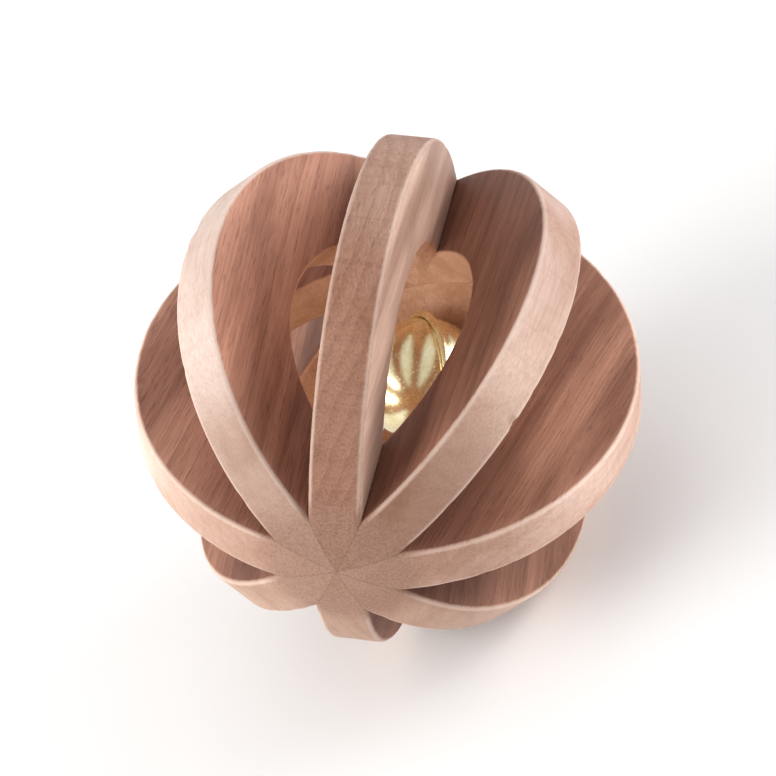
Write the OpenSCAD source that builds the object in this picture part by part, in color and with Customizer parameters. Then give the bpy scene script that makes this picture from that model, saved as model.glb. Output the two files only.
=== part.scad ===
/* [Ball] */
// Diameter of the ball across the rims of two opposite slats
ball_d = 60; // [54:1:80]
// Thickness of the board that the slats are cut from
slat_t = 6.2; // [4:0.1:7]
// Width of a slat from its rim to its inner edge
slat_w = 12.6; // [8:0.1:13]
// Width of the eased arris along a slat's edges
arris = 0.4; // [0.1:0.1:0.8]

/* [Bell shells] */
// Outside diameter of the bell
bell_d = 15; // [13:0.5:18]
// Thickness of the bell's sheet metal
sheet_t = 0.3; // [0.2:0.05:0.4]
// How far the folded seam stands out of the bell
seam_out = 0.8; // [0.7:0.05:0.9]
// Gap between the fold of the seam and the dome inside it
seam_gap = 0.1; // [0.05:0.05:0.15]

/* [Bell slot] */
// Width of the slot across the bell's lower shell
slot_w = 1.4; // [0.8:0.1:2]
// Diameter of the round hole at each end of the slot
slot_hole_d = 3; // [2.2:0.1:3.4]
// Angle from the bottom of the bell to the middle of each hole
slot_reach = 48; // [40:1:55]

/* [Bell loop and pellet] */
// Diameter of the loop's wire
wire_d = 1; // [0.8:0.1:1.2]
// Width of the loop between the middles of its legs
loop_w = 3; // [2.6:0.1:4]
// Length of the loop's straight legs outside the shell
loop_leg = 0.8; // [0.4:0.1:2]
// Length of each leg's end that is bent over inside the shell
loop_foot = 1.2; // [0.8:0.1:1.6]
// Gap around the loop's legs in the upper shell
leg_gap = 0.05; // [0.02:0.01:0.1]
// Diameter of the loose pellet inside the bell
pellet_d = 3.8; // [3.6:0.1:5]

/* [Where the bell lies] */
// Gap between the bell and the two slats that it lies on
bell_gap = 0.05; // [0.02:0.01:0.3]
// Angle along the gap between those slats, from its middle towards the rear hub
bell_swing = 50; // [40:1:52]
// Lean of the bell's loop from straight up
bell_lean = 54; // [44:1:56]
// Compass direction in which the loop leans
bell_turn = 213; // [213:1:223]
// Turn of the loop and the slot about the bell's own axis
bell_spin = 30; // [20:1:40]

/* [Hidden] */

$fn = 96;
slat_count = 8;
step_a = 360 / slat_count;
ball_r = ball_d / 2;
cavity_r = ball_r - slat_w;

// The bell touches the inner arrises of the two lowest slats, wherever it lies along the gap
bell_r = bell_d / 2;
touch_r = norm([cavity_r, slat_t / 2 - arris]);
polar = 90 - bell_swing;
reach = cavity_r * sqrt(1 - pow(sin(polar) * sin(step_a / 2), 2))
        + (slat_t / 2 - arris) * sin(polar) * sin(step_a / 2);
bell_out = reach - sqrt(pow(reach, 2) - pow(touch_r, 2) + pow(bell_r + bell_gap, 2));
bell_at = [0, bell_out * sin(bell_swing), -bell_out * cos(bell_swing)];

// Section of a slat, with its four arrises eased
module slat_section() {
    half_t = slat_t / 2;
    polygon([
        [cavity_r, arris - half_t], [cavity_r + arris, -half_t],
        [ball_r - arris, -half_t], [ball_r, arris - half_t],
        [ball_r, half_t - arris], [ball_r - arris, half_t],
        [cavity_r + arris, half_t], [cavity_r, half_t - arris]
    ]);
}

// Half a ring, mitred at both ends so that eight of them meet on the ball's long axis
module slat(number) {
    far = ball_d;
    color("burlywood")
        rotate([0, -(number - 0.5) * step_a, 0])
            intersection() {
                rotate_extrude() slat_section();
                rotate([90, 0, 0])
                    linear_extrude(height = 2 * far, center = true)
                        polygon([[0, 0], [far, -far * tan(step_a / 2)], [far, far * tan(step_a / 2)]]);
            }
}

module bell_place() {
    translate(bell_at)
        rotate([0, bell_lean, bell_turn])
            rotate([0, 0, bell_spin])
                children();
}

// Half of the bell's ball, with its flat side down
module half_shell() {
    intersection() {
        difference() {
            sphere(r = bell_r);
            sphere(r = bell_r - sheet_t);
        }
        translate([0, 0, bell_r]) cube(2 * bell_r, center = true);
    }
}

// Flat ring around the bell
module ring(inner, outer, low, high) {
    translate([0, 0, low])
        difference() {
            cylinder(r = outer, h = high - low);
            translate([0, 0, low - high]) cylinder(r = inner, h = 3 * (high - low));
        }
}

// The upper shell is a dome with a flat flange, and two holes for the loop
module bell_upper_shell() {
    flange_r = bell_r + seam_out - sheet_t;
    color("gold")
        bell_place()
            difference() {
                union() {
                    half_shell();
                    ring(bell_r - sheet_t, flange_r, 0, sheet_t);
                }
                for (side = [-1, 1])
                    translate([side * loop_w / 2, 0, 0])
                        cylinder(r = wire_d / 2 + leg_gap, h = 2 * bell_r);
            }
}

// The lower shell is a bowl whose flange is folded over the upper one, with a slot between two round holes
module bell_lower_shell() {
    seam_r = bell_r + seam_out;
    slot_top = (bell_r - sheet_t) * cos(slot_reach);
    color("gold")
        bell_place()
            difference() {
                union() {
                    mirror([0, 0, 1]) half_shell();
                    ring(bell_r - sheet_t, seam_r, -sheet_t, 0);
                    ring(seam_r - sheet_t, seam_r, -sheet_t, 2 * sheet_t);
                    ring(bell_r + seam_gap, seam_r, sheet_t, 2 * sheet_t);
                }
                translate([-bell_r, -slot_w / 2, -2 * bell_r]) cube([bell_d, slot_w, 2 * bell_r - slot_top]);
                for (side = [-1, 1])
                    rotate([0, side * slot_reach, 0])
                        translate([0, 0, -2 * bell_r]) cylinder(d = slot_hole_d, h = 2 * bell_r);
            }
}

// Wire staple through the top of the bell, its ends bent outwards inside
module bell_loop() {
    bend_r = loop_w / 2;
    leg_top = bell_r + loop_leg;
    foot_z = sqrt(pow(bell_r - sheet_t, 2) - pow(bend_r + loop_foot, 2)) - wire_d / 2;
    color("goldenrod")
        bell_place()
            union() {
                translate([0, 0, leg_top]) rotate([90, 0, 0])
                    rotate_extrude(angle = 180) translate([bend_r, 0]) circle(d = wire_d, $fn = 32);
                for (side = [-1, 1])
                    translate([side * bend_r, 0, 0]) {
                        translate([0, 0, leg_top]) mirror([0, 0, 1]) cylinder(d = wire_d, h = leg_top - foot_z);
                        translate([0, 0, foot_z]) {
                            sphere(d = wire_d);
                            rotate([0, side * 90, 0]) cylinder(d = wire_d, h = loop_foot);
                        }
                    }
            }
}

// The pellet lies at the lowest place inside the bell
module bell_pellet() {
    color("dimgray")
        translate(bell_at - [0, 0, bell_r - sheet_t - pellet_d / 2]) sphere(d = pellet_d);
}

slat(1);  // slat_1
slat(2);  // slat_2
slat(3);  // slat_3
slat(4);  // slat_4
slat(5);  // slat_5
slat(6);  // slat_6
slat(7);  // slat_7
slat(8);  // slat_8
bell_upper_shell();
bell_lower_shell();
bell_loop();
bell_pellet();
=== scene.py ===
import math
import random

import bmesh
import bpy
from mathutils import Matrix, Vector, noise


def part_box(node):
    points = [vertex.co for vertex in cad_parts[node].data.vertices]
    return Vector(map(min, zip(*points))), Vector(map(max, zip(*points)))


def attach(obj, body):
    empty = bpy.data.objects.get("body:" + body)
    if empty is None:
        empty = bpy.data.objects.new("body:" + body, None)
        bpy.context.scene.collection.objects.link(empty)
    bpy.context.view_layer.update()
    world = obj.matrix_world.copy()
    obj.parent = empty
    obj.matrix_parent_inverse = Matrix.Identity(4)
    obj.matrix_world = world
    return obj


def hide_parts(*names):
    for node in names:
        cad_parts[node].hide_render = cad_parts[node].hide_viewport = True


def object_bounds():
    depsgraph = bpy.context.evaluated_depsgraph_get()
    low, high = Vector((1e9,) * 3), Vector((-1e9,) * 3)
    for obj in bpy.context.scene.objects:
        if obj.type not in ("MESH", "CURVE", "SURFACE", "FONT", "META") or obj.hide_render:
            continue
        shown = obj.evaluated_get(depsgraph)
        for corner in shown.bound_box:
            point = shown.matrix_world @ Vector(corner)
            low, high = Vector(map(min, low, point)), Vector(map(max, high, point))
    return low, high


# A ball of eight half-ring wooden slats with a loose round bell inside. Metres, Z up, long axis along Y.
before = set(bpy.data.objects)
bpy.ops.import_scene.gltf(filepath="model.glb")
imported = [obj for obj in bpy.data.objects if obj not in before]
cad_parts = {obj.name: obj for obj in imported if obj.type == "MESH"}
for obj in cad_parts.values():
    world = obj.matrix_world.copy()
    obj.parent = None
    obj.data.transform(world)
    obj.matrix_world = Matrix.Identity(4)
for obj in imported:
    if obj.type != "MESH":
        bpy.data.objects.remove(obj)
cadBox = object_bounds()
mm = 0.001
scene = bpy.context.scene


def newObject(name, mesh):
    obj = bpy.data.objects.new(name, mesh)
    scene.collection.objects.link(obj)
    return obj


def meshFrom(bm, name, sharpAngle):
    bmesh.ops.recalc_face_normals(bm, faces=bm.faces)
    for face in bm.faces:
        face.smooth = True
    for edge in bm.edges:
        if len(edge.link_faces) == 2 and edge.calc_face_angle() > math.radians(sharpAngle):
            edge.smooth = False
    mesh = bpy.data.meshes.new(name)
    bm.to_mesh(mesh)
    bm.free()
    return mesh


def smoothStep(low, high, value):
    t = min(1, max(0, (value - low) / (high - low)))
    return t * t * (3 - 2 * t)


# Camera: it looks at the ball from the photo's side, with the near hub low in the picture
camera = {
    "right": Vector((0.8905, 0.1880, -0.4150)),    # picture's right, up and back in the ball's own axes
    "up": Vector((0.1960, 0.6640, 0.7210)),
    "back": Vector((0.4110, -0.7240, 0.5550)),
    "offset": (11.94, 43.36, 716.6),    # mm to the right, up and back from the ball's centre
    "frameWidth": 92.0,    # mm that the picture spans at the ball
    "sensor": 36.0,
    "clip": (0.01, 20.0),    # nearest and farthest that it sees, in metres
}


def makeCamera(s):
    centre = (cadBox[0] + cadBox[1]) / 2
    x, y, z = s["offset"]
    place = (s["right"] * x + s["up"] * y + s["back"] * z) * mm
    away = place.normalized()
    side = s["up"].cross(away).normalized()
    top = away.cross(side)
    data = bpy.data.cameras.new("camera")
    data.sensor_width = s["sensor"]
    data.lens = s["sensor"] * place.length / (s["frameWidth"] * mm)
    data.clip_start, data.clip_end = s["clip"]
    obj = newObject("camera", data)
    turn = Matrix((side, top, away)).transposed().to_4x4()
    obj.matrix_world = Matrix.Translation(centre + place) @ turn
    scene.camera = obj


makeCamera(camera)
print("camera ready")


def newMaterial(name):
    material = bpy.data.materials.new(name)
    material.use_nodes = True
    tree = material.node_tree
    tree.nodes.clear()
    shader = tree.nodes.new("ShaderNodeBsdfPrincipled")
    output = tree.nodes.new("ShaderNodeOutputMaterial")
    tree.links.new(shader.outputs["BSDF"], output.inputs["Surface"])
    return material, tree, shader


def feed(tree, socket, value):
    if isinstance(value, (int, float)):
        socket.default_value = value
    elif isinstance(value, tuple):
        socket.default_value = (*value, 1) if socket.type == "RGBA" else value
    else:
        tree.links.new(value, socket)


def attribute(tree, name, output="Vector"):
    item = tree.nodes.new("ShaderNodeAttribute")
    item.attribute_name = name
    return item.outputs[output]


def sums(tree, operation, *values):
    item = tree.nodes.new("ShaderNodeMath")
    item.operation = operation
    for socket, value in zip(item.inputs, values):
        feed(tree, socket, value)
    return item.outputs[0]


def vectorSums(tree, operation, *values, output="Vector"):
    item = tree.nodes.new("ShaderNodeVectorMath")
    item.operation = operation
    for socket, value in zip(item.inputs, values):
        feed(tree, socket, value)
    return item.outputs[output]


def grainNoise(tree, position, stretch, detail=3.0, roughness=0.55):
    item = tree.nodes.new("ShaderNodeTexNoise")
    item.inputs["Scale"].default_value = 1.0
    item.inputs["Detail"].default_value = detail
    item.inputs["Roughness"].default_value = roughness
    tree.links.new(vectorSums(tree, "MULTIPLY", position, stretch), item.inputs["Vector"])
    return item.outputs["Fac"]


def blend(tree, factor, first, second, mode="MIX"):
    item = tree.nodes.new("ShaderNodeMix")
    item.data_type = "RGBA"
    item.blend_type = mode
    feed(tree, item.inputs[0], factor)
    feed(tree, item.inputs[6], first)
    feed(tree, item.inputs[7], second)
    return item.outputs[2]


def ramp(tree, source, low, high, first, second):
    item = tree.nodes.new("ShaderNodeMapRange")
    item.interpolation_type = "SMOOTHSTEP"
    for name, value in (("From Min", low), ("From Max", high), ("To Min", first), ("To Max", second)):
        item.inputs[name].default_value = value
    tree.links.new(source, item.inputs["Value"])
    return item.outputs["Result"]


def fade(tree, source, low, high):
    return ramp(tree, source, low, high, 0.0, 1.0)


def product(tree, first, second):
    return sums(tree, "MULTIPLY", first, second)


# A stain multiplies the colour under it by its own
def stain(tree, factor, base, colour):
    return blend(tree, factor, base, colour, "MULTIPLY")


def bump(tree, height, strength, distance):
    item = tree.nodes.new("ShaderNodeBump")
    item.inputs["Strength"].default_value = strength
    item.inputs["Distance"].default_value = distance
    tree.links.new(height, item.inputs["Height"])
    return item.outputs["Normal"]


# Wood. grainPos is in mm from the heart of the tree: along the grain, then two ways across it.
# slatPos is in mm in the slat's own half ring: outwards, along the ball's long axis, through the board.
wood = {
    "faceLight": (0.44, 0.225, 0.152),
    "faceDark": (0.24, 0.108, 0.070),
    "faceClouds": (0.32, 0.66),    # share of the clouding noise where the dark ends and the light starts
    "rimLight": (0.82, 0.62, 0.515),
    "rimDark": (0.66, 0.44, 0.335),
    "rimClouds": (0.28, 0.60),
    # painted bounce light: the inner edge's warm orange stands in for light bounced off the wood and the
    # gold bell
    "innerBounceLight": (0.90, 0.56, 0.370),
    "innerBounceDark": (0.68, 0.37, 0.220),
    "innerClouds": (0.30, 0.62),
    "sandedEdge": 0.18,    # mm under the rim where the sanded colour starts to fade, and where it ends
    "rimEdge": 0.62,
    "innerEdge": 0.55,
    "innerShare": 0.85,    # how much of that colour the inner edge takes
    "raggedEdge": 0.5,    # how far the fibres wander across that line
    "wanderGrain": (0.022, 0.11, 0.11),    # noise cells per mm, along the grain and across it
    "cloudGrain": (0.03, 0.13, 0.13),
    "fibreGrain": (0.055, 3.3, 3.3),
    "fleckGrain": (0.42, 5.6, 5.6),
    "turningGrain": (70.0, 1150.0, 70.0),    # noise cells per metre in the ball's own axes
    "ringWidth": 1.7,
    "ringWobble": 3.0,
    "lateWood": (0.35, 0.92, 0.94),    # where in a ring it starts, is darkest, and gives way to the next
    "ringDepth": 0.26,    # how much darker the late wood of each ring is
    "ringStain": (0.50, 0.38, 0.32),
    "fibreDepth": 0.40,
    "fibreStain": (0.48, 0.36, 0.30),
    "fleckDepth": 0.38,
    "fleckStain": (0.36, 0.24, 0.19),
    "turning": 0.20,    # darkness of the turning marks
    "turningStain": (0.55, 0.42, 0.36),
    "endReach": (0.42, 0.93),    # share of the way to a hub where the end grain starts, and is full
    "endStain": (0.42, 0.30, 0.24),
    "hubLight": (0.31, 0.170, 0.122),
    "hubDark": (0.215, 0.110, 0.075),
    "hubReach": (7.0, 12.0),    # mm from the long axis
    "hubEven": 0.72,    # how far the end grain of the hubs takes one tone
    "tornStain": (0.52, 0.36, 0.27),
    "paintedCreviceShade": 0.55,    # painted shade: the faces are darkened where two slats run together, as if in the shade of the narrow gap
    "paintedShadeReach": (0.3, 6.5),    # mm from the neighbouring slat
    "paintedShadeColour": (0.42, 0.33, 0.30),
    "arrisPaleAndHighlight": 0.38,    # the eased arrises are sanded palest, and painted paler still as a highlight where they catch the light
    "arrisHighlightColour": (0.90, 0.72, 0.62),
    "arrisReach": (2.45, 2.90),    # mm from the middle of the board
    "arrisDepth": 0.60,
    "arrisEnd": (0.3, 1.5),    # mm from the neighbouring slat
    "joint": 0.20,    # darkness of the glue lines
    "jointWidth": (0.03, 0.16),
    "jointStain": (0.22, 0.13, 0.09),
    "roughness": 0.56,
    "roughSpread": 0.22,
    "specular": 0.28,
    "reliefStrength": 0.5,
    "reliefDepth": 0.00006,
}


def woodMaterial(s, slat):
    material, tree, shader = newMaterial("oiledWood")
    grain = attribute(tree, "grainPos")
    place = attribute(tree, "slatPos")
    apart = tree.nodes.new("ShaderNodeSeparateXYZ")
    tree.links.new(place, apart.inputs[0])
    outwards, along, through = apart.outputs

    def distance(position, keep):
        return vectorSums(tree, "LENGTH", vectorSums(tree, "MULTIPLY", position, keep), output="Value")

    # Rings of growth round the heart of the tree, wandering a little along the board
    wander = product(tree, grainNoise(tree, grain, s["wanderGrain"]), s["ringWobble"])
    heart = sums(tree, "ADD", distance(grain, (0.0, 1.0, 1.0)), wander)
    share = sums(tree, "FRACT", sums(tree, "DIVIDE", heart, s["ringWidth"]))
    lateStart, lateDarkest, lateEnd = s["lateWood"]
    late = ramp(tree, share, lateEnd, 1.0, 1.0, 0.0)
    late = product(tree, fade(tree, share, lateStart, lateDarkest), late)
    cloud = grainNoise(tree, grain, s["cloudGrain"])
    fibre = grainNoise(tree, grain, s["fibreGrain"], 5.0, 0.65)
    fleck = ramp(tree, grainNoise(tree, grain, s["fleckGrain"], 2.0, 0.5), 0.33, 0.42, 1.0, 0.0)

    # The rim and the inner edge are sanded paler than the faces of the board; the inner edge is also
    # painted a warmer orange, as bounce light off the wood and the gold bell
    radius = distance(place, (1.0, 1.0, 0.0))
    ragged = sums(tree, "MULTIPLY_ADD", fibre, s["raggedEdge"], -s["raggedEdge"] / 2)
    outerDepth = sums(tree, "ADD", sums(tree, "SUBTRACT", slat["rimR"], radius), ragged)
    innerDepth = sums(tree, "ADD", sums(tree, "SUBTRACT", radius, slat["innerR"]), ragged)
    outer = ramp(tree, outerDepth, s["sandedEdge"], s["rimEdge"], 1.0, 0.0)
    inner = ramp(tree, innerDepth, s["sandedEdge"], s["innerEdge"], s["innerShare"], 0.0)
    sanded = sums(tree, "MAXIMUM", outer, inner)
    face = blend(tree, fade(tree, cloud, *s["faceClouds"]), s["faceDark"], s["faceLight"])
    face = stain(tree, 1.0, face, attribute(tree, "faceTint", "Color"))
    edge = blend(tree, fade(tree, cloud, *s["rimClouds"]), s["rimDark"], s["rimLight"])
    edge = stain(tree, 1.0, edge, attribute(tree, "rimTint", "Color"))
    # Painted bounce light: the inner edge takes a warmer orange than the rim, for light bounced off the
    # wood and the bell
    hollowBounce = blend(tree, fade(tree, cloud, *s["innerClouds"]), s["innerBounceDark"], s["innerBounceLight"])
    base = blend(tree, outer, face, edge)
    base = blend(tree, inner, base, hollowBounce)

    # Rings, fibre and flecks, fainter where the board is plain
    facePlain = attribute(tree, "facePlain", "Fac")
    plain = sums(tree, "SUBTRACT", attribute(tree, "rimPlain", "Fac"), facePlain)
    plain = sums(tree, "MULTIPLY_ADD", sanded, plain, facePlain)
    ring = product(tree, late, sums(tree, "SUBTRACT", 1.0, plain))
    base = stain(tree, product(tree, ring, s["ringDepth"]), base, s["ringStain"])
    streak = ramp(tree, fibre, 0.34, 0.66, 1.0, 0.0)
    streak = product(tree, streak, sums(tree, "MULTIPLY_ADD", plain, -0.55, 1.0))
    base = stain(tree, product(tree, streak, s["fibreDepth"]), base, s["fibreStain"])
    fleck = product(tree, fleck, sums(tree, "MULTIPLY_ADD", plain, -0.85, 1.0))
    base = stain(tree, product(tree, fleck, s["fleckDepth"]), base, s["fleckStain"])

    # Turning marks run round the ball, across the rims
    where = tree.nodes.new("ShaderNodeTexCoord")
    turned = grainNoise(tree, where.outputs["Object"], s["turningGrain"], 2.0, 0.6)
    mark = product(tree, ramp(tree, turned, 0.50, 0.66, 0.0, s["turning"]), outer)
    mark = product(tree, mark, sums(tree, "MULTIPLY_ADD", plain, -0.7, 1.0))
    base = stain(tree, mark, base, s["turningStain"])

    # End grain near the hubs, where it takes one tone, and torn fibres in the chips
    reach = sums(tree, "DIVIDE", sums(tree, "ABSOLUTE", along), slat["rimR"])
    endGrain = product(tree, fade(tree, reach, *s["endReach"]), outer)
    endGrain = product(tree, endGrain, attribute(tree, "hubShade", "Fac"))
    base = stain(tree, endGrain, base, s["endStain"])
    fromAxis = sums(tree, "ADD", distance(place, (1.0, 0.0, 1.0)), ragged)
    hub = product(tree, ramp(tree, fromAxis, *s["hubReach"], 1.0, 0.0), outer)
    hubWood = blend(tree, fade(tree, fibre, 0.36, 0.62), s["hubDark"], s["hubLight"])
    base = blend(tree, product(tree, hub, s["hubEven"]), base, hubWood)
    base = stain(tree, attribute(tree, "torn", "Fac"), base, s["tornStain"])

    # Painted shade in the crevices, pale sanded arrises with a painted highlight, and glue lines, by the
    # distance to the neighbouring slat
    half = math.pi / slat["count"]
    side = sums(tree, "ABSOLUTE", through)
    wedge = product(tree, outwards, math.sin(half))
    wedge = sums(tree, "SUBTRACT", wedge, product(tree, side, math.cos(half)))
    # Painted shade: the faces darken towards the line where two slats run together
    paintedCreviceShade = ramp(tree, wedge, *s["paintedShadeReach"], s["paintedCreviceShade"], 0.0)
    paintedCreviceShade = product(tree, paintedCreviceShade, sums(tree, "SUBTRACT", 1.0, sanded))
    base = stain(tree, paintedCreviceShade, base, s["paintedShadeColour"])
    rubbed = sums(tree, "MULTIPLY_ADD", ragged, 0.4, side)
    # Painted highlight: the arrises are sanded paler, and painted paler still where the light catches them
    corner = ramp(tree, outerDepth, 0.0, s["arrisDepth"], 1.0, 0.0)
    corner = product(tree, fade(tree, rubbed, *s["arrisReach"]), corner)
    corner = product(tree, corner, ramp(tree, wedge, *s["arrisEnd"], 0.0, s["arrisPaleAndHighlight"]))
    base = blend(tree, corner, base, s["arrisHighlightColour"])
    joint = ramp(tree, wedge, *s["jointWidth"], s["joint"], 0.0)
    joint = product(tree, joint, sums(tree, "MULTIPLY_ADD", inner, -0.9, 1.0))
    base = stain(tree, joint, base, s["jointStain"])
    tree.links.new(base, shader.inputs["Base Color"])

    rough = sums(tree, "MULTIPLY_ADD", fibre, s["roughSpread"], s["roughness"] - s["roughSpread"] / 2)
    tree.links.new(rough, shader.inputs["Roughness"])
    shader.inputs["Specular IOR Level"].default_value = s["specular"]
    height = sums(tree, "MULTIPLY_ADD", late, 0.35, fibre)    # late wood stands up, flecks lie deeper
    height = sums(tree, "SUBTRACT", height, product(tree, fleck, 0.8))
    height = sums(tree, "SUBTRACT", height, product(tree, mark, 1.4))
    tree.links.new(bump(tree, height, s["reliefStrength"], s["reliefDepth"]), shader.inputs["Normal"])
    return material


# Slats: half rings with eased arrises, mitred so that eight of them meet on the long axis
slats = {
    "count": 8,
    "rimR": 30.0,
    "innerR": 17.4,
    "thick": 6.2,
    "round": 0.55,    # radius of the eased arrises
    "roundSteps": 4,
    "turnSteps": 480,
    "faceSteps": 10,
    "rimSteps": 6,
    "sharpAngle": 40,
    "wave": 0.03,    # unevenness left by hand sanding, mm
    "waveGrain": 0.15,    # noise cells per mm
    "rub": 0.12,    # how far the arrises are rubbed down, mm
    "rubGrain": 0.55,
    "rubReach": 0.9,    # mm from an arris
    "mitreClear": 0.8,    # mm from the mitres over which all wear fades out
    "seed": 7,
    "noiseShift": 400,
    "rearFade": (-14, 0),    # mm along the long axis over which a rim takes its rear tint
    # For each slat: the grain's angle to the long axis, the heart of the tree in mm across and through
    # the board, tints, shade near the hubs, and how plain the sanded edges and the faces are
    "boards": [
        {"grain": 7, "heart": (46, 34), "face": (0.90, 0.86, 0.84), "rim": (0.86, 0.81, 0.80),
         "hubShade": 0.90, "rimPlain": 0.75, "rear": (0.88, 0.86, 0.88)},
        # slat 2's face tint makes its faces pale as lighter wood, and paler still as painted light falling
        # on them from the picture's upper right
        {"grain": -4, "heart": (9, 62), "face": (2.00, 2.75, 3.25), "rim": (0.49, 0.345, 0.28),
         "hubShade": 0.22, "rimPlain": 0.12, "facePlain": 0.60, "rear": (1.18, 1.34, 1.50)},
        {"grain": 3, "heart": (-38, 40), "face": (1.40, 1.40, 1.44), "rim": (0.94, 0.98, 1.03),
         "hubShade": 0.80, "rimPlain": 0.80},
        {"grain": -9, "heart": (28, 55), "face": (1.42, 1.46, 1.52), "rim": (1.02, 1.00, 1.00),
         "hubShade": 0.72, "rimPlain": 0.70},
        {"grain": 5, "heart": (50, 26), "face": (1.05, 1.02, 1.00), "rim": (0.95, 0.93, 0.90),
         "hubShade": 0.66, "rimPlain": 0.65},
        {"grain": 10, "heart": (-30, 48), "face": (1.12, 1.09, 1.07), "rim": (0.90, 0.88, 0.85),
         "hubShade": 0.64, "rimPlain": 0.50},
        {"grain": -6, "heart": (40, 30), "face": (1.04, 1.01, 0.98), "rim": (0.98, 0.95, 0.93),
         "hubShade": 0.68, "rimPlain": 0.70},
        {"grain": 14, "heart": (-52, 36), "face": (1.25, 1.22, 1.20), "rim": (1.05, 1.00, 1.01),
         "hubShade": 0.66, "rimPlain": 0.60},
    ],
    "chipWidth": 1.1,
    "chipGrain": 2.1,
    "chipTorn": 0.42,    # darkness of the torn fibres
    # Chips along an arris: slat, angle from the middle in degrees, side, length and depth in mm
    "chips": [
        (1, -36.2, -1, 1.7, 0.22), (2, 34.0, 1, 1.1, 0.14), (3, 8.0, 1, 3.8, 0.20), (3, 1.0, 1, 1.6, 0.14),
        (4, -12.0, -1, 1.2, 0.14), (6, 40.0, -1, 1.4, 0.14), (8, 18.0, 1, 1.2, 0.14),
    ],
}


def slatSection(s):
    half, r = s["thick"] / 2, s["round"]
    outer, inner = s["rimR"], s["innerR"]

    def row(a, b, steps):
        return [(a[0] + (b[0] - a[0]) * i / steps, a[1] + (b[1] - a[1]) * i / steps) for i in range(steps)]

    def corner(cx, cy, start):
        n = s["roundSteps"]
        angles = [math.radians(start + 90 * i / n) for i in range(n)]
        return [(cx + r * math.cos(a), cy + r * math.sin(a)) for a in angles]

    points = row((outer, r - half), (outer, half - r), s["rimSteps"])
    points += corner(outer - r, half - r, 0)
    points += row((outer - r, half), (inner + r, half), s["faceSteps"])
    points += corner(inner + r, half - r, 90)
    points += row((inner, half - r), (inner, r - half), s["rimSteps"])
    points += corner(inner + r, r - half, 180)
    points += row((inner + r, -half), (outer - r, -half), s["faceSteps"])
    points += corner(outer - r, r - half, 270)
    return points


# A full ring of the section is cut down to one slat by the two mitre planes
def sweepSlat(s):
    section = slatSection(s)
    bm = bmesh.new()
    rings = []
    for i in range(s["turnSteps"]):
        a = 2 * math.pi * i / s["turnSteps"]
        x, y = math.cos(a) * mm, math.sin(a) * mm
        rings.append([bm.verts.new((r * x, r * y, h * mm)) for r, h in section])
    for i, ring in enumerate(rings):
        after = rings[(i + 1) % len(rings)]
        for j in range(len(ring)):
            k = (j + 1) % len(ring)
            bm.faces.new((ring[j], after[j], after[k], ring[k]))
    half = math.pi / s["count"]
    for side in (1, -1):
        cut = bmesh.ops.bisect_plane(
            bm, geom=bm.verts[:] + bm.edges[:] + bm.faces[:], dist=1e-7, plane_co=(0, 0, 0),
            plane_no=(-math.sin(half), 0, side * math.cos(half)), clear_outer=True)
        edges = [e for e in cut["geom_cut"] if isinstance(e, bmesh.types.BMEdge)]
        bmesh.ops.edgeloop_fill(bm, edges=edges)
    return bm


# Sanding leaves the rim a little uneven and rubs the arrises; the mitres stay true
def wearSlat(bm, s, number, shift):
    torn = bm.verts.layers.float.new("torn")
    half = math.pi / s["count"]
    thick = s["thick"] / 2
    chips = [chip[1:] for chip in s["chips"] if chip[0] == number]
    for v in bm.verts:
        p = v.co / mm
        radial = math.hypot(p.x, p.y)
        outwards = Vector((p.x / radial, p.y / radial, 0))
        loose = smoothStep(0.0, s["mitreClear"], p.x * math.sin(half) - abs(p.z) * math.cos(half))
        onRim = radial > (s["rimR"] + s["innerR"]) / 2
        depth = s["rimR"] - radial if onRim else radial - s["innerR"]
        corner = smoothStep(s["rubReach"], 0.1, depth)
        corner *= smoothStep(thick - s["rubReach"], thick - 0.2, abs(p.z))
        rub = corner * max(0, noise.noise(p * s["rubGrain"] + shift) - 0.1) * s["rub"]
        inwards = -outwards if onRim else outwards
        move = inwards * rub
        if onRim:
            move += inwards * max(0, 0.5 + noise.noise(p * s["waveGrain"] + shift)) * s["wave"]
        move.z -= math.copysign(rub, p.z)
        for degrees, side, length, bite in chips:
            a = math.radians(degrees)
            gap = p - Vector((s["rimR"] * math.cos(a), s["rimR"] * math.sin(a), side * thick))
            lengthwise = gap.y * math.cos(a) - gap.x * math.sin(a)
            sideways = math.hypot(gap.x * math.cos(a) + gap.y * math.sin(a), gap.z)
            far = (lengthwise / length * 2) ** 2 + (sideways / s["chipWidth"]) ** 2
            if far < 1:
                cut = bite * (1 - far) ** 0.7 * (1 + 0.5 * noise.noise(p * s["chipGrain"] + shift))
                move -= outwards * cut * 0.7    # the cut goes in at 45 degrees to both sides of the arris
                move.z -= side * cut * 0.7
                v[torn] = max(v[torn], smoothStep(1, 0.5, far) * s["chipTorn"])
        v.co += move * loose * mm


def storeValues(mesh, name, kind, field, values):
    layer = mesh.attributes.new(name, kind, "POINT")
    layer.data.foreach_set(field, [part for value in values for part in value])


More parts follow.
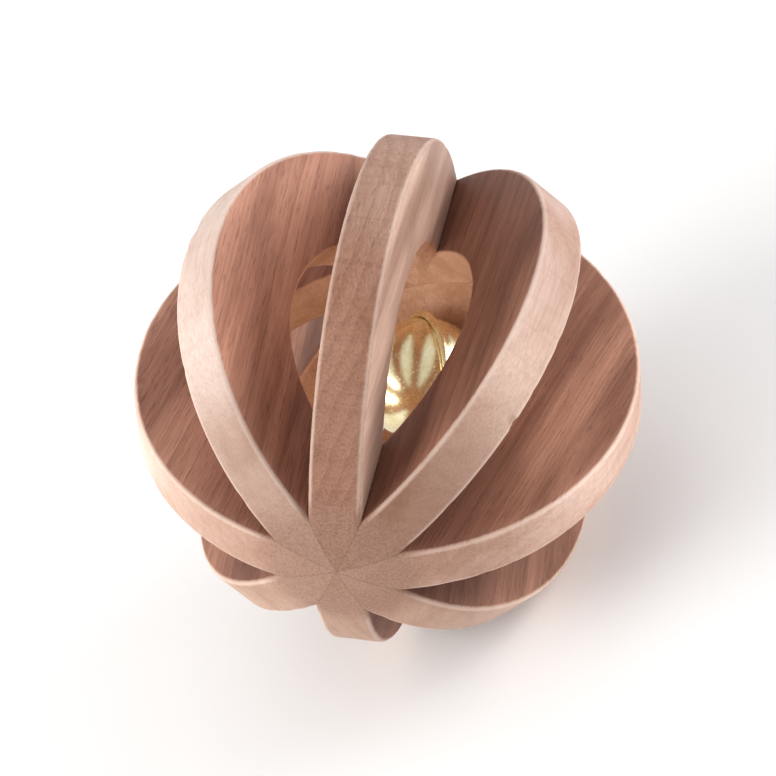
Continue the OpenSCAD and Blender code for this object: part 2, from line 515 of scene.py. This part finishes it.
def makeSlat(s, number, material):
    random.seed(s["seed"] + number)
    shift = Vector([random.uniform(-s["noiseShift"], s["noiseShift"]) for _ in range(3)])
    bm = sweepSlat(s)
    wearSlat(bm, s, number, shift)
    mesh = meshFrom(bm, f"slat{number}Wood", s["sharpAngle"])
    board = s["boards"][number - 1]
    turn = math.radians(board["grain"])
    heartAcross, heartThrough = board["heart"]
    rear = board.get("rear", (1, 1, 1))    # what the rim's tint is multiplied by towards the rear hub
    points = [v.co / mm for v in mesh.vertices]
    grain = []
    rimTints = []
    for p in points:
        share = smoothStep(*s["rearFade"], p.y)
        rimTints.append((*[c * (1 + (r - 1) * share) for c, r in zip(board["rim"], rear)], 1))
        along = p.y * math.cos(turn) + p.x * math.sin(turn)
        across = p.x * math.cos(turn) - p.y * math.sin(turn)
        grain.append((along + shift.x, across + heartAcross, p.z + heartThrough))
    storeValues(mesh, "grainPos", "FLOAT_VECTOR", "vector", grain)
    storeValues(mesh, "slatPos", "FLOAT_VECTOR", "vector", points)
    storeValues(mesh, "faceTint", "FLOAT_COLOR", "color", [(*board["face"], 1)] * len(points))
    storeValues(mesh, "rimTint", "FLOAT_COLOR", "color", rimTints)
    for name in ("hubShade", "rimPlain", "facePlain"):
        storeValues(mesh, name, "FLOAT", "value", [(board.get(name, 0),)] * len(points))
    angle = (number - 0.5) * 2 * math.pi / s["count"]
    mesh.transform(Matrix.Rotation(-angle, 4, "Y"))
    mesh.materials.append(material)
    obj = newObject(f"slat{number}Wood", mesh)
    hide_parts(f"slat_{number}")
    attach(obj, "root")


woodFinish = woodMaterial(wood, slats)
for number in range(1, slats["count"] + 1):
    makeSlat(slats, number, woodFinish)
print("slats ready")


# Bell: two pressed shells folded together at a seam, a wire loop and a pellet. Sizes in mm
bell = {
    "radius": 7.5,
    "sheet": 0.3,
    "seamOut": 0.8,
    "foldGap": 0.1,
    "fillet": 0.18,    # radius where the dome turns into its flange
    "lowerBend": 0.22,    # radii of the seam's lower bend and of its fold
    "foldBend": 0.30,
    "bowlEnd": 0.965,    # share of the quarter circle at which the bowl turns into its flange
    "slotWidth": 1.4,
    "holeD": 3.0,
    "holeReach": 48,    # degrees from the bottom to the middle of each hole
    "fan": 56,    # degrees round the seam that one side of a hole opens out to
    "wire": 1.0,
    "loopWidth": 3.0,
    "loopLeg": 0.8,
    "loopFoot": 1.2,
    "dish": 0.16,    # how far the metal is dished where a leg goes through, and within what distances
    "dishReach": (1.15, 0.5),
    "pellet": 3.8,
    "dent": 0.035,
    "dentGrain": 1.3,
    "lean": 54,
    "turn": 213,
    "spin": 30,
    "steps": 192,    # faces round the dome
    "domeSteps": 64,
    "liningSteps": 40,
    "bowlSteps": 26,
    "holeSteps": 24,    # steps along a quarter of the slot's outline: round the hole, then along the slot
    "slotSteps": 12,
    "bendSteps": 28,
    "pelletSteps": 5,
    "wireSteps": 20,
}


def metalMaterial(name, light, dark, roughness, scratch):
    material, tree, shader = newMaterial(name)
    where = tree.nodes.new("ShaderNodeTexCoord")
    cloud = grainNoise(tree, where.outputs["Object"], (650.0, 650.0, 650.0))    # noise cells per metre
    fine = grainNoise(tree, where.outputs["Object"], (2600.0, 900.0, 4200.0), 2.0)
    tree.links.new(blend(tree, fade(tree, cloud, 0.35, 0.68), light, dark), shader.inputs["Base Color"])
    scuffed = product(tree, fade(tree, fine, 0.55, 0.72), 0.16)
    cloudy = sums(tree, "MULTIPLY_ADD", cloud, 0.10, roughness - 0.05)
    tree.links.new(sums(tree, "ADD", scuffed, cloudy), shader.inputs["Roughness"])
    shader.inputs["Metallic"].default_value = 1.0
    tree.links.new(bump(tree, fine, scratch, 0.00002), shader.inputs["Normal"])
    return material


def bellPlace(s):
    low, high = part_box("bell_pellet")
    rise = (s["radius"] - s["sheet"] - s["pellet"] / 2) * mm
    centre = (Vector(low) + Vector(high)) / 2 + Vector((0, 0, rise))

    def turned(degrees, axis):
        return Matrix.Rotation(math.radians(degrees), 4, axis)

    lie = turned(s["turn"], "Z") @ turned(s["lean"], "Y") @ turned(s["spin"], "Z")
    return Matrix.Translation(centre) @ lie


def bridge(bm, first, second, closed=True):
    count = len(first)
    for i in range(count if closed else count - 1):
        j = (i + 1) % count
        corners = []
        for v in (first[i], first[j], second[j], second[i]):
            if v not in corners:
                corners.append(v)
        if len(corners) > 2:
            bm.faces.new(corners)


def turnedRow(bm, radius, height, angles):
    if radius < 1e-6:
        return [bm.verts.new((0, 0, height * mm))] * len(angles)
    spokes = [(math.cos(a), math.sin(a)) for a in angles]
    return [bm.verts.new((radius * x * mm, radius * y * mm, height * mm)) for x, y in spokes]


def arc(radius, fromDegrees, toDegrees, steps, centre=(0, 0)):
    turn = toDegrees - fromDegrees
    angles = [math.radians(fromDegrees + turn * i / steps) for i in range(steps + 1)]
    return [(centre[0] + radius * math.cos(a), centre[1] + radius * math.sin(a)) for a in angles]


def placeBellPart(bm, name, node, material, sharpAngle):
    mesh = meshFrom(bm, name, sharpAngle)
    mesh.transform(bellPlace(bell))
    mesh.materials.append(material)
    obj = newObject(name, mesh)
    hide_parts(node)
    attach(obj, "root")


def makeDome(s, material):
    r, t, fillet = s["radius"], s["sheet"], s["fillet"]
    flange = r + s["seamOut"] - t - 0.02
    meet = math.degrees(math.asin((t + fillet) / (r + fillet)))
    bendX = (r + fillet) * math.cos(math.radians(meet))
    profile = arc(r, 90, meet, s["domeSteps"])
    profile += arc(fillet, 180 + meet, 270, 4, (bendX, t + fillet))[1:]
    profile += [(flange - 0.1, t), (flange, t - 0.08), (flange, 0.08), (flange - 0.08, 0.0)]
    profile += [(r - t, 0.0)] + arc(r - t, 2, 90, s["liningSteps"])
    angles = [2 * math.pi * i / s["steps"] for i in range(s["steps"])]
    bm = bmesh.new()
    rows = [turnedRow(bm, radius, height, angles) for radius, height in profile]
    for first, second in zip(rows, rows[1:]):
        bridge(bm, first, second)
    for v in bm.verts:
        p = v.co / mm
        for side in (-1, 1):
            reach = math.hypot(p.x - side * s["loopWidth"] / 2, p.y)
            if p.z > 3:
                v.co.z -= s["dish"] * mm * smoothStep(*s["dishReach"], reach)
    placeBellPart(bm, "bellDome", "bell_upper_shell", material, 45)


# Edge of the slot and its holes on the flattened bottom of the bowl, each point with its angle at the seam
def slotOutline(s):
    hole, half = s["holeD"] / 2, s["slotWidth"] / 2
    middle = s["radius"] * math.radians(s["holeReach"])
    neck = math.pi - math.asin(half / hole)
    fan = math.radians(s["fan"])
    holeSteps, slotSteps = s["holeSteps"], s["slotSteps"]
    quarter = []
    for i in range(holeSteps + 1):
        a = neck * i / holeSteps
        quarter.append((middle + hole * math.cos(a), hole * math.sin(a), fan * (i / holeSteps) ** 1.1))
    start = quarter[-1][0]
    for i in range(1, slotSteps + 1):
        quarter.append((start * (1 - i / slotSteps), half, fan + (math.pi / 2 - fan) * i / slotSteps))
    points = list(quarter)
    points += [(-x, y, math.pi - a) for x, y, a in reversed(quarter[:-1])]
    points += [(-x, -y, math.pi + a) for x, y, a in quarter[1:]]
    points += [(x, -y, 2 * math.pi - a) for x, y, a in reversed(quarter[1:-1])]
    return points


def bowlPoint(x, y, bend, radius):
    flat = math.hypot(x, y)
    polar = flat / bend
    return Vector((x / flat * math.sin(polar), y / flat * math.sin(polar), -math.cos(polar))) * radius * mm


def makeBowl(s, material):
    r, t = s["radius"], s["sheet"]
    outline = slotOutline(s)
    angles = [a for _, _, a in outline]
    seam = r + s["seamOut"]
    edge = r * math.pi / 2 * s["bowlEnd"]
    bm = bmesh.new()

    def patch(radius):
        rows = []
        for k in range(s["bowlSteps"] + 1):
            share = (k / s["bowlSteps"]) ** 1.25
            rows.append([bm.verts.new(bowlPoint(x + (edge * math.cos(a) - x) * share,
                                                y + (edge * math.sin(a) - y) * share, r, radius))
                         for x, y, a in outline])
        return rows

    outside, inside = patch(r), patch(r - t)
    for grid in (outside, inside):
        for first, second in zip(grid, grid[1:]):
            bridge(bm, first, second)
    bridge(bm, outside[0], inside[0])

    # The flange turns out, up and back over the dome's flange, and ends in a round fold
    top = 2 * t
    profile = [(r + 0.05, -t * 1.05)]
    lower, upper = s["lowerBend"], s["foldBend"]
    profile += arc(lower, 270, 340, 5, (seam - lower, lower - t))
    profile += arc(upper, 10, 90, 6, (seam - upper, top - upper))
    fold = r + s["foldGap"]
    profile += [(fold + 0.12, top), (fold, top - 0.1), (fold, t + 0.02), (seam - t, t + 0.02)]
    profile += [(seam - t, 0.0), (r - t, 0.0)]
    rows = [turnedRow(bm, radius, height, angles) for radius, height in profile]
    chain = [outside[-1]] + rows + [inside[-1]]
    for first, second in zip(chain, chain[1:]):
        bridge(bm, first, second)
    placeBellPart(bm, "bellBowl", "bell_lower_shell", material, 38)


def makeLoop(s, material):
    half, top = s["loopWidth"] / 2, s["radius"] + s["loopLeg"]
    foot = math.sqrt((s["radius"] - s["sheet"]) ** 2 - (half + s["loopFoot"]) ** 2) - s["wire"] / 2
    leg = [(half + s["loopFoot"], foot), (half + 0.6, foot), (half + 0.25, foot + 0.1), (half, foot + 0.45)]
    leg += [(half, top - 0.6), (half, top - 0.3)]
    path = leg + arc(half, 0, 180, s["bendSteps"], (0, top)) + [(-x, z) for x, z in reversed(leg)]
    bm = bmesh.new()
    side = Vector((0, 1, 0))
    rings = []
    for i, (x, z) in enumerate(path):
        before, after = path[max(0, i - 1)], path[min(len(path) - 1, i + 1)]
        run = Vector((after[0] - before[0], 0, after[1] - before[1])).normalized()
        up = run.cross(side)
        ring = []
        for k in range(s["wireSteps"]):
            a = 2 * math.pi * k / s["wireSteps"]
            spoke = (side * math.cos(a) + up * math.sin(a)) * s["wire"] / 2
            ring.append(bm.verts.new((Vector((x, 0, z)) + spoke) * mm))
        rings.append(ring)
    for first, second in zip(rings, rings[1:]):
        bridge(bm, first, second)
    for end in (rings[0], rings[-1]):
        bm.faces.new(end)
    placeBellPart(bm, "bellLoop", "bell_loop", material, 50)


def makePellet(s, material):
    bm = bmesh.new()
    bmesh.ops.create_icosphere(bm, subdivisions=s["pelletSteps"], radius=s["pellet"] / 2 * mm)
    for v in bm.verts:
        dent = s["dent"] * mm * max(0, 0.5 + noise.noise(v.co / mm * s["dentGrain"]))
        v.co -= v.co.normalized() * dent
    mesh = meshFrom(bm, "bellPellet", 50)
    low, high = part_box("bell_pellet")
    mesh.transform(Matrix.Translation((Vector(low) + Vector(high)) / 2))
    mesh.materials.append(material)
    obj = newObject("bellPellet", mesh)
    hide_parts("bell_pellet")
    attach(obj, "root")


goldPlate = metalMaterial("goldPlate", (0.95, 0.86, 0.56), (0.87, 0.75, 0.43), 0.21, 0.25)
goldWire = metalMaterial("goldWire", (0.90, 0.70, 0.38), (0.76, 0.54, 0.26), 0.20, 0.35)
darkSteel = metalMaterial("darkSteel", (0.30, 0.29, 0.28), (0.17, 0.16, 0.15), 0.40, 0.5)
makeDome(bell, goldPlate)
makeBowl(bell, goldPlate)
makeLoop(bell, goldWire)
makePellet(bell, darkSteel)
print("bell ready")


# Floor and light
stage = {
    "floor": (0.90, 0.90, 0.90),
    "floorRough": 0.8,
    "floorSize": 3.0,
    "floorGap": 0.00005,    # metres below the ball, so that the two don't touch
    "sky": 0.75,
    "lampSize": 0.4,
    "distance": 0.6,
    "keyWay": (-0.95, -0.25, 0.3),    # to the picture's right, up and back
    "key": 3.4,
    "keyColour": (1.0, 0.985, 0.96),
    "fillWay": (0.75, 0.65, 0.3),
    "fill": 2.3,
    "fillColour": (1.0, 1.0, 1.0),
}


def lamp(s, name):
    data = bpy.data.lights.new(f"{name}Light", "AREA")
    data.size = s["lampSize"]
    data.energy = s[name]
    data.color = s[f"{name}Colour"]
    obj = newObject(f"{name}Light", data)
    x, y, z = s[f"{name}Way"]
    away = (camera["right"] * x + camera["up"] * y + camera["back"] * z).normalized()
    obj.location = away * s["distance"]
    obj.rotation_mode = "QUATERNION"
    obj.rotation_quaternion = away.to_track_quat("Z", "Y")


def makeStage(s):
    mesh = bpy.data.meshes.new("floor")
    bm = bmesh.new()
    bmesh.ops.create_grid(bm, x_segments=2, y_segments=2, size=s["floorSize"])
    bm.to_mesh(mesh)
    bm.free()
    mesh.transform(Matrix.Translation((0, 0, cadBox[0].z - s["floorGap"])))
    material, tree, shader = newMaterial("paleFloor")
    shader.inputs["Base Color"].default_value = (*s["floor"], 1)
    shader.inputs["Roughness"].default_value = s["floorRough"]
    mesh.materials.append(material)
    newObject("floor", mesh)
    world = bpy.data.worlds.new("sky")
    world.use_nodes = True
    world.node_tree.nodes["Background"].inputs["Color"].default_value = (1, 1, 1, 1)
    world.node_tree.nodes["Background"].inputs["Strength"].default_value = s["sky"]
    scene.world = world
    lamp(s, "key")
    lamp(s, "fill")


makeStage(stage)
scene.view_settings.view_transform = "Standard"
print("stage ready")
